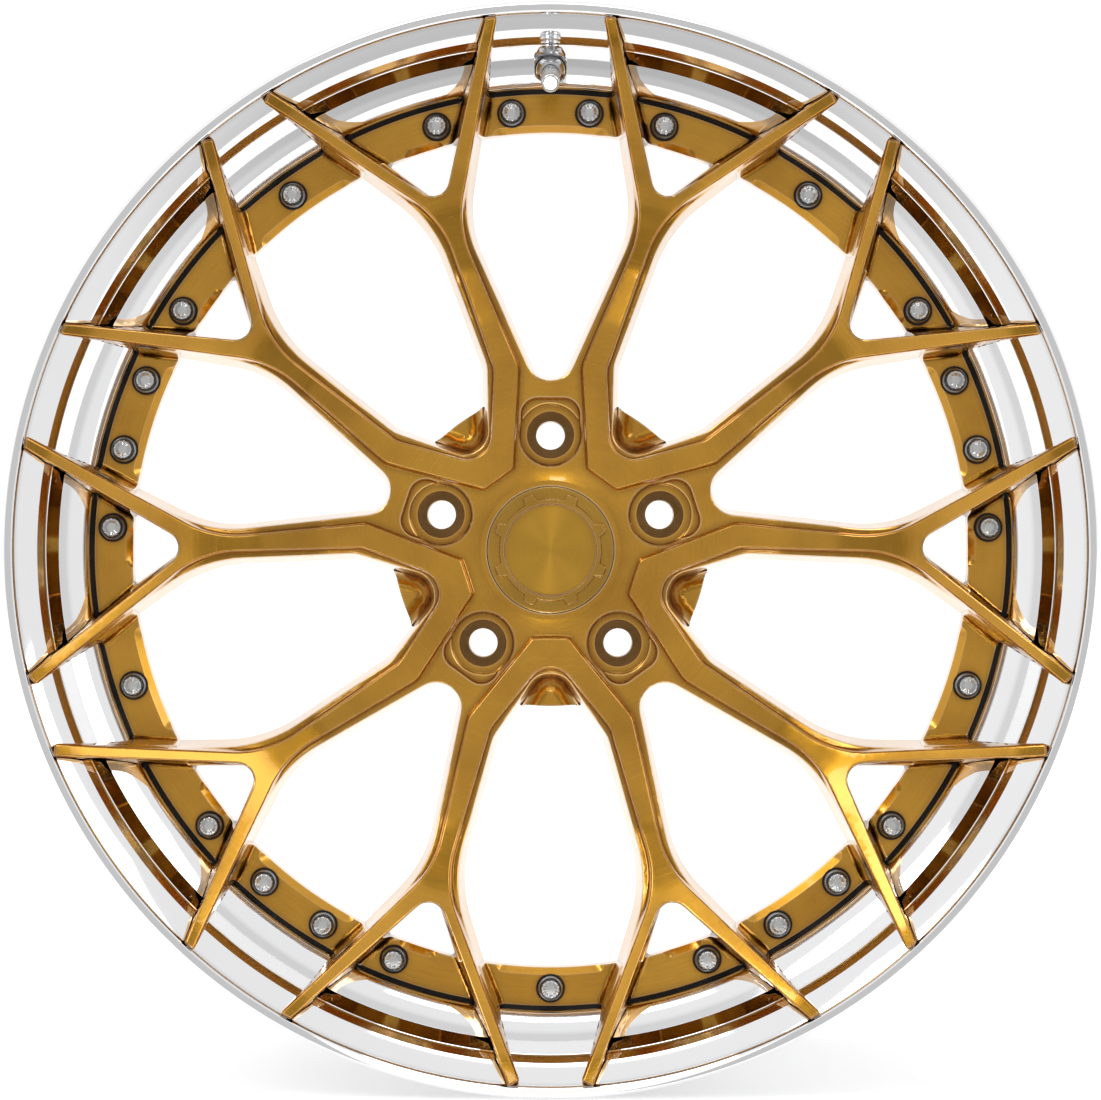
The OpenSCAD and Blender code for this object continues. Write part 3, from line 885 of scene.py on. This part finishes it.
for groove in range(5):
    at = 19 + 2.4 * groove
    VALVE_CAP += [(4.75, at, 0.12), (4.45, at + 0.2, 0.1), (4.45, at + 0.6, 0.1), (4.75, at + 0.8, 0.12)]
VALVE_CAP += [(4.75, 32.2, 0.5), (4.1, 33, 0.4), (0, 33, 0)]
stem = turned_piece("valve_stem_surface", STEM, AT_VALVE, step=0.8)
show(stem, "wheel", "valve_chrome", "valve_stem")
valve_nut = turned_piece("valve_nut_surface", VALVE_NUT, AT_VALVE, step=0.8)
show(valve_nut, "wheel", "valve_nut_chrome", "valve_nut")
valve_washer = turned_piece("valve_washer_surface", VALVE_WASHER, AT_VALVE, step=0.8)
show(valve_washer, "wheel", "valve_washer_steel", "valve_washer")
valve_cap = turned_piece("valve_cap_surface", VALVE_CAP, AT_VALVE, step=0.8)
show(valve_cap, "valve_cap_body", "valve_cap_chrome", "valve_cap")
show(disc, "wheel", "bronze_candy", "centre_disc")


# ---------------------------------------------------------------- materials


class Look:
    """A Principled material with its node tools."""

    def __init__(self, name, **sockets):
        self.material = bpy.data.materials.new(name)
        self.material.use_nodes = True
        self.tree = self.material.node_tree
        self.shader = self.tree.nodes["Principled BSDF"]
        for socket, value in sockets.items():
            self.shader.inputs[socket.replace("_", " ")].default_value = value
        self.place = self.node("ShaderNodeTexCoord").outputs["Object"]

    def node(self, kind, inputs=None, **settings):
        """A node with its settings, and its inputs linked or set."""
        made = self.tree.nodes.new(kind)
        for key, value in settings.items():
            setattr(made, key, value)
        for key, value in (inputs or {}).items():
            if isinstance(value, bpy.types.NodeSocket):
                self.tree.links.new(value, made.inputs[key])
            else:
                made.inputs[key].default_value = value
        return made

    def math(self, operation, a, b=0.0):
        """Result of a Math node."""
        return self.node("ShaderNodeMath", {0: a, 1: b}, operation=operation).outputs[0]

    def noise(self, scale, detail=3.0, vector=None, roughness=0.5):
        """Noise in the object's own coordinates, or in those given."""
        inputs = {"Vector": vector or self.place, "Scale": scale, "Detail": detail, "Roughness": roughness}
        return self.node("ShaderNodeTexNoise", inputs).outputs["Fac"]

    def ramp(self, value, *marks):
        """Values or colours at places along a 0 to 1 input."""
        made = self.node("ShaderNodeValToRGB", {"Fac": value})
        elements = made.color_ramp.elements
        while len(elements) < len(marks):
            elements.new(0.5)
        for element, (place, shade) in zip(elements, marks):
            element.position = place
            element.color = (*shade, 1) if isinstance(shade, tuple) else (shade, shade, shade, 1)
        return made.outputs["Color"]

    def blend(self, share, a, b, kind="MIX"):
        """Colour a turned into b by a share."""
        made = self.node("ShaderNodeMix", {"Factor": share}, data_type="RGBA", blend_type=kind)
        for socket, value in ((made.inputs[6], a), (made.inputs[7], b)):
            if isinstance(value, bpy.types.NodeSocket):
                self.tree.links.new(value, socket)
            else:
                socket.default_value = (*value, 1)
        return made.outputs[2]

    def polar(self, around, along, depthwise):
        """Coordinates about the axle: arc length, radius and depth, each with its own scale."""
        parts = self.node("ShaderNodeSeparateXYZ", {0: self.place}).outputs
        across = self.math("MULTIPLY", parts["X"], parts["X"])
        upward = self.math("MULTIPLY", parts["Z"], parts["Z"])
        radius = self.math("SQRT", self.math("ADD", across, upward))
        angle = self.math("ARCTAN2", parts["X"], parts["Z"])
        inputs = {
            "X": self.math("MULTIPLY", angle, around),
            "Y": self.math("MULTIPLY", radius, along),
            "Z": self.math("MULTIPLY", parts["Y"], depthwise),
        }
        return self.node("ShaderNodeCombineXYZ", inputs).outputs[0]

    def set(self, socket, value):
        """Links a node's output to a socket of the shader."""
        self.tree.links.new(value, self.shader.inputs[socket])

    def bump(self, height, strength, reach):
        """Raises the surface by a height pattern, over a reach in metres."""
        made = self.node("ShaderNodeBump", {"Height": height, "Strength": strength, "Distance": reach})
        self.set("Normal", made.outputs[0])

    def nearness(self, reach, inside=False):
        """Below 1 close to an inner corner, or with inside set, close to an outer edge."""
        made = self.node("ShaderNodeAmbientOcclusion", {"Distance": reach}, samples=6, inside=inside)
        return made.outputs["AO"]

    def spread(self, value, low, high):
        """Maps a 0 to 1 value on to a range."""
        made = self.node("ShaderNodeMapRange", {"Value": value, "To Min": low, "To Max": high})
        return made.outputs[0]

    def wear(self, *objects):
        """Puts the material on objects, in place of any they have."""
        for piece in objects:
            piece.data.materials.clear()
            piece.data.materials.append(self.material)


def candy(name, deep, light, roughness, streaks=(9.0, 900.0)):
    """Tinted lacquer over brushed metal: cloudy colour, fine tangential brushing and a glossy coat, with
    painted shade darkening inner corners and a painted highlight along outer edges.
    """
    look = Look(name, Metallic=1.0, Coat_Weight=0.8, Coat_Roughness=0.04, Coat_IOR=1.5)
    brushing = look.noise(1.0, 4.0, look.polar(streaks[0], streaks[1], streaks[1]), 0.6)
    clouds = look.noise(24, 3.0)
    grain = look.noise(1700, 2.0)
    tint = look.blend(look.ramp(clouds, (0.3, 0.0), (0.7, 1.0)), deep, light)
    streaked = look.ramp(brushing, (0.3, (0.93, 0.91, 0.88)), (0.7, (1.0, 1.0, 1.0)))
    speckled = look.ramp(grain, (0.3, (0.93, 0.92, 0.9)), (0.7, (1.0, 1.0, 1.0)))
    tint = look.blend(1.0, tint, streaked, "MULTIPLY")
    tint = look.blend(1.0, tint, speckled, "MULTIPLY")
    # Painted shade: the colour darkens close to inner corners and steps, as if in their shadow.
    painted_corner_shade = look.ramp(look.nearness(0.0042), (0.35, (0.26, 0.17, 0.09)), (0.96, (1.0, 1.0, 1.0)))
    tint = look.blend(1.0, tint, painted_corner_shade, "MULTIPLY")
    # Painted highlight: a pale gold line along outer edges, as if they caught the light.
    painted_edge_highlight = look.ramp(look.nearness(0.0011, inside=True), (0.55, 0.85), (0.93, 0.0))
    look.set("Base Color", look.blend(painted_edge_highlight, tint, (1.0, 0.72, 0.42)))
    look.set("Roughness", look.spread(brushing, roughness - 0.05, roughness + 0.07))
    look.bump(look.math("ADD", brushing, look.math("MULTIPLY", grain, 0.4)), 0.08, 0.00005)
    return look


def polished(name, colour, roughness, turning=0.02):
    """Polished metal with a breath of haze and very faint turning marks."""
    look = Look(name, Metallic=1.0)
    haze = look.noise(40, 4.0)
    marks = look.noise(1.0, 2.0, look.polar(0.6, 1400.0, 1400.0))
    look.set("Base Color", look.blend(haze, colour, tuple(c * 0.97 for c in colour)))
    look.set("Roughness", look.spread(haze, roughness, roughness * 1.8))
    look.bump(marks, turning, 0.00002)
    return look


def machined(name, colour, roughness, groove=900.0):
    """Bare turned metal with circular tool marks."""
    look = Look(name, Metallic=1.0)
    marks = look.noise(1.0, 3.0, look.polar(3.0, groove, groove), 0.7)
    stains = look.noise(30, 4.0)
    look.set("Base Color", look.blend(stains, colour, tuple(c * 0.86 for c in colour)))
    look.set("Roughness", look.spread(marks, roughness - 0.08, roughness + 0.1))
    look.bump(marks, 0.25, 0.0001)
    return look


def fine_metal(name, colour, roughness, grain=2500.0, strength=0.15):
    """Small metal parts: fine all-over grain with slight stains."""
    look = Look(name, Metallic=1.0)
    speck = look.noise(grain, 2.0)
    stains = look.noise(160, 3.0)
    look.set("Base Color", look.blend(stains, colour, tuple(c * 0.82 for c in colour)))
    look.set("Roughness", look.spread(speck, roughness - 0.05, roughness + 0.08))
    look.bump(speck, strength, 0.00003)
    return look


def moulded(name, colour, roughness, grain=1800.0):
    """Rubber, sealant or plastic with a moulded skin."""
    look = Look(name)
    skin = look.noise(grain, 3.0)
    dust = look.noise(70, 3.0)
    look.set("Base Color", look.blend(dust, colour, tuple(c * 1.6 + 0.004 for c in colour)))
    look.set("Roughness", look.spread(skin, roughness - 0.08, roughness + 0.08))
    look.bump(skin, 0.3, 0.00008)
    return look


bronze = candy("bronze_candy_paint", (0.58, 0.275, 0.012), (0.76, 0.39, 0.03), 0.24)
bronze.wear(disc)
cap_bronze = candy("cap_bronze_paint", (0.48, 0.245, 0.015), (0.62, 0.34, 0.032), 0.26, (4.0, 500.0))
cap_bronze.wear(cap_piece)

badge_look = Look(
    "cap_disc_brushed", Metallic=1.0, Coat_Weight=0.4, Coat_Roughness=0.08,
    Anisotropic=0.8, Anisotropic_Rotation=0.25,
)
rings = badge_look.noise(1.0, 3.0, badge_look.polar(0.35, 2600.0, 0.0), 0.7)
badge_look.set("Base Color", badge_look.blend(rings, (0.54, 0.28, 0.02), (0.72, 0.40, 0.05)))
badge_look.set("Roughness", badge_look.spread(rings, 0.24, 0.4))
tangent = badge_look.node("ShaderNodeTangent", direction_type="RADIAL", axis="Y").outputs[0]
badge_look.set("Tangent", tangent)
badge_look.bump(rings, 0.2, 0.00004)
badge_look.wear(badge)

mirror = polished("mirror_polish", (0.93, 0.93, 0.94), 0.035)
tyre_side = machined("tyre_side_machined", (0.72, 0.72, 0.73), 0.34)
mirror.wear(barrel)
barrel.data.materials.append(tyre_side.material)


# The polished face of the lip, as (depth, radius), and the band of the front flange that is polished too
LIP_END = 62
LIP_CONTOUR = [
    (0, 268.2), (5.5, 267.6), (17.2, 254.4), (29.9, 248.6), (41.3, LIP_BORE_R), (LIP_END, LIP_BORE_R),
]
BAND_END = 12.5
BAND_R = 266


def polish_face(mesh):
    """Keeps the polish on the lip's face and gives the rest of the barrel its machined finish."""
    count = len(mesh.polygons)
    middles = np.zeros(count * 3)
    mesh.polygons.foreach_get("center", middles)
    middles = middles.reshape(-1, 3)
    radius = np.hypot(middles[:, 0], middles[:, 2]) / MM
    depth = (middles[:, 1] - FACE) / MM
    contour = stops(depth, LIP_CONTOUR)
    face = (depth < BAND_END) & (radius > contour - 1) & (radius > BAND_R)
    face |= (depth < LIP_END) & (radius < contour + 1)
    mesh.polygons.foreach_set("material_index", np.where(face, 0, 1).astype(np.int32))
    mesh.update()


polish_face(barrel.data)


def finish_apart(piece, look, chosen):
    """Gives faces their own finish where chosen(middles in mm) is true."""
    mesh = piece.data
    middles = np.zeros(len(mesh.polygons) * 3)
    mesh.polygons.foreach_get("center", middles)
    slots = np.zeros(len(mesh.polygons), np.int32)
    mesh.polygons.foreach_get("material_index", slots)
    slots[chosen(middles.reshape(-1, 3) / MM)] = len(mesh.materials)
    mesh.materials.append(look.material)
    mesh.polygons.foreach_set("material_index", slots)
    mesh.update()


def spacing(middles, centres):
    """Distance across the axle to the nearest centre."""
    across = middles[:, None, (0, 2)] - np.array(centres)[None]
    return np.hypot(across[..., 0], across[..., 1]).min(1)


def on_circle(radius, angles):
    """Points at clockwise angles on a circle about the axle."""
    return [(radius * math.sin(angle), radius * math.cos(angle)) for angle in angles]


BOLT_CENTRES = on_circle(BOLT_CIRCLE_R, bolt_angles())
LUG_CENTRES = on_circle(LUG_CIRCLE_R, np.arange(SECTORS) * 2 * HALF_SECTOR)
# Painted shade on the bolts: the 12-point star's sides and the head's flange close round it get a dark copy
# of the steel, as the ring of shadow round the bright dome.
HEAD_PAINTED_SHADE_WITHIN = 5.6
STAR_PAINTED_SHADE_BEYOND = 4.4
fine_metal("bolt_stainless", (0.74, 0.74, 0.73), 0.2).wear(stars)
fine_metal("bolt_flange_satin", (0.42, 0.42, 0.42), 0.42).wear(heads)
# A near-black copy of the bolt steel, used as painted shade.
painted_shade_steel = fine_metal("bolt_painted_shade", (0.1, 0.1, 0.1), 0.3)
finish_apart(heads, painted_shade_steel, lambda middles: spacing(middles, BOLT_CENTRES) < HEAD_PAINTED_SHADE_WITHIN)
finish_apart(stars, painted_shade_steel, lambda middles: spacing(middles, BOLT_CENTRES) > STAR_PAINTED_SHADE_BEYOND)
seat_look = machined("lug_seat_machined", (0.62, 0.47, 0.28), 0.35)
finish_apart(disc, seat_look, lambda middles: spacing(middles, LUG_CENTRES) < LUG_SEAT_R)
fine_metal("black_oxide", (0.035, 0.035, 0.038), 0.32, 1600, 0.3).wear(washers)
fine_metal("zinc_plate", (0.62, 0.62, 0.6), 0.3).wear(nuts)
fine_metal("valve_chrome_plate", (0.72, 0.72, 0.73), 0.07, 900, 0.04).wear(stem, valve_nut, valve_washer)
fine_metal("valve_cap_plate", (0.9, 0.9, 0.9), 0.12, 900, 0.05).wear(valve_cap)
moulded("joint_sealant", (0.008, 0.008, 0.008), 0.5).wear(nodes["sealant_ring"])
moulded("soft_rubber", (0.012, 0.012, 0.012), 0.55).wear(
    nodes["cap_oring"], nodes["valve_grommet"], nodes["core_seal"], nodes["valve_cap_gasket"]
)
moulded("ptfe", (0.78, 0.78, 0.76), 0.4).wear(nodes["core_gasket"])
fine_metal("spring_steel", (0.55, 0.55, 0.56), 0.25).wear(nodes["cap_wire"], nodes["core_spring"])
fine_metal("turned_brass", (0.72, 0.5, 0.2), 0.25).wear(nodes["core_body"], nodes["core_pin"])


# ---------------------------------------------------------------- camera and studio

CAMERA_DISTANCE = 2.0
SENSOR = 36
VIEW_WIDTH = 0.548
camera_data = bpy.data.cameras.new("camera")
camera = bpy.data.objects.new("camera", camera_data)
bpy.context.scene.collection.objects.link(camera)
camera.location = (0, FACE - CAMERA_DISTANCE, 0)
camera.rotation_euler = (math.radians(90), 0, 0)
camera_data.sensor_width = SENSOR
camera_data.lens = SENSOR * CAMERA_DISTANCE / VIEW_WIDTH
camera_data.clip_end = 30
bpy.context.scene.camera = camera
bpy.context.scene.view_settings.view_transform = "Standard"


def backdrop():
    """A seamless sheet: floor under the wheel, swept up behind it."""
    floor = -RIM_R * MM - 0.0002
    reach = 2.9
    bend_r = 0.8
    steps = 24
    half_width = 5.0
    curve = [(-0.3, floor), (0.2, floor), (reach - bend_r, floor)]
    for k in range(1, steps + 1):
        angle = math.pi / 2 * k / steps
        curve.append((reach - bend_r + bend_r * math.sin(angle), floor + bend_r * (1 - math.cos(angle))))
    curve.append((reach, 5.0))
    coords = [(x, y, z) for y, z in curve for x in (-half_width, half_width)]
    faces = [(2 * k, 2 * k + 1, 2 * k + 3, 2 * k + 2) for k in range(len(curve) - 1)]
    mesh = bpy.data.meshes.new("backdrop")
    mesh.from_pydata(coords, [], faces)
    mesh.shade_smooth()
    sheet = bpy.data.objects.new("backdrop", mesh)
    bpy.context.scene.collection.objects.link(sheet)
    paper = Look("studio_paper", Roughness=0.9, Emission_Strength=0.36)
    paper.shader.inputs["Emission Color"].default_value = (1, 1, 1, 1)
    fibre = paper.noise(60, 4.0)
    paper.set("Base Color", paper.blend(fibre, (0.9, 0.9, 0.9), (0.87, 0.87, 0.87)))
    paper.wear(sheet)


backdrop()


def studio_world():
    """Soft white surroundings, greyer in front of the wheel's face and grey low in front."""
    world = bpy.data.worlds.new("studio")
    bpy.context.scene.world = world
    world.use_nodes = True
    sky = world.node_tree
    background = sky.nodes["Background"]
    direction = sky.nodes.new("ShaderNodeTexCoord").outputs["Generated"]
    parts = sky.nodes.new("ShaderNodeSeparateXYZ")
    sky.links.new(direction, parts.inputs[0])

    def range_of(source, low, high, at_low, at_high):
        made = sky.nodes.new("ShaderNodeMapRange")
        made.interpolation_type = "SMOOTHSTEP"
        sky.links.new(source, made.inputs["Value"])
        for key, value in (("From Min", low), ("From Max", high), ("To Min", at_low), ("To Max", at_high)):
            made.inputs[key].default_value = value
        return made.outputs[0]

    def product(a, b):
        made = sky.nodes.new("ShaderNodeMath")
        made.operation = "MULTIPLY"
        sky.links.new(a, made.inputs[0])
        sky.links.new(b, made.inputs[1])
        return made.outputs[0]

    centre = range_of(parts.outputs["Y"], -0.95, -0.8, 0.6, 0.34)
    ring = range_of(parts.outputs["Y"], -0.66, -0.46, 1.0, 2.6)
    behind = range_of(parts.outputs["Y"], -0.2, 0.4, 1.0, 1.25)
    low = range_of(parts.outputs["Z"], -0.95, -0.45, 0.64, 1.0)
    sides = range_of(parts.outputs["X"], -1.0, 1.0, 1.03, 0.97)
    strength = product(product(product(centre, ring), behind), product(low, sides))
    sky.links.new(strength, background.inputs["Strength"])
    background.inputs["Color"].default_value = (1.0, 1.0, 1.0, 1)


studio_world()


def softbox(name, place, target, size, power):
    """A soft rectangular light aimed at a point."""
    data = bpy.data.lights.new(name, "AREA")
    data.shape = "RECTANGLE"
    data.size, data.size_y = size
    data.energy = power
    lamp = bpy.data.objects.new(name, data)
    bpy.context.scene.collection.objects.link(lamp)
    lamp.location = place
    aim = Vector(target) - Vector(place)
    lamp.rotation_euler = aim.to_track_quat("-Z", "Y").to_euler()


softbox("key", (-1.6, -1.9, 1.9), (0, 0, 0), (1.0, 1.0), 14)
softbox("fill", (1.9, -1.6, 1.0), (0, 0, 0), (1.2, 1.2), 8)
softbox("top", (0, -0.2, 2.2), (0, 0, 0), (1.6, 1.0), 10)
softbox("streak above", (0.1, -2.4, 1.5), (0, 0, 0), (0.3, 0.6), 2)
softbox("streak below", (-0.1, -2.4, -1.2), (0, 0, 0), (0.25, 0.4), 2)
